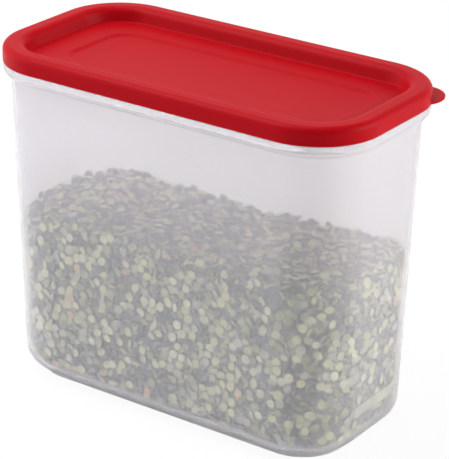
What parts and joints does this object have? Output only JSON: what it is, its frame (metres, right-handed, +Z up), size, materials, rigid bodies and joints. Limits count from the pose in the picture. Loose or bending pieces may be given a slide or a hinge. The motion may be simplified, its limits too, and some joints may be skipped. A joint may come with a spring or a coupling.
{
  "type": "dry food container",
  "caption": "Tall rounded-rectangular kitchen canister of clear plastic with a press-on lid, corner pull tab and stacking foot, part filled with split peas.",
  "frame": {"origin": "centre of the foot, on the surface that the container stands on", "axes": "+Z up, X along the container's length, Y along its width; the pull tab is on the +X, +Y corner"},
  "size_m": [0.235, 0.119, 0.1975],
  "materials": {
    "clear_polypropylene": "translucent moulded polypropylene, slightly milky",
    "red_polyethylene": "satin moulded polyethylene",
    "split_peas": "dry, dull and powdery"
  },
  "bodies": {
    "container": {"container": "clear_polypropylene", "split_pea_fill": "split_peas"},
    "lid": {"lid": "red_polyethylene"},
    "tab": {"pull_tab": "red_polyethylene"}
  },
  "joints": [
    {"name": "lid_lift", "type": "slide", "parent": "container", "child": "lid", "axis": [0, 0, 1], "range_m": [0, 0.2]},
    {"name": "tab_flex", "type": "hinge", "parent": "lid", "child": "tab", "pos_m": [0.11, 0.04808, 0.18835], "axis": [0.6561, -0.7547, 0], "range_deg": [-20, 50], "stiffness_Nm_per_rad": 0.005}
  ]
}
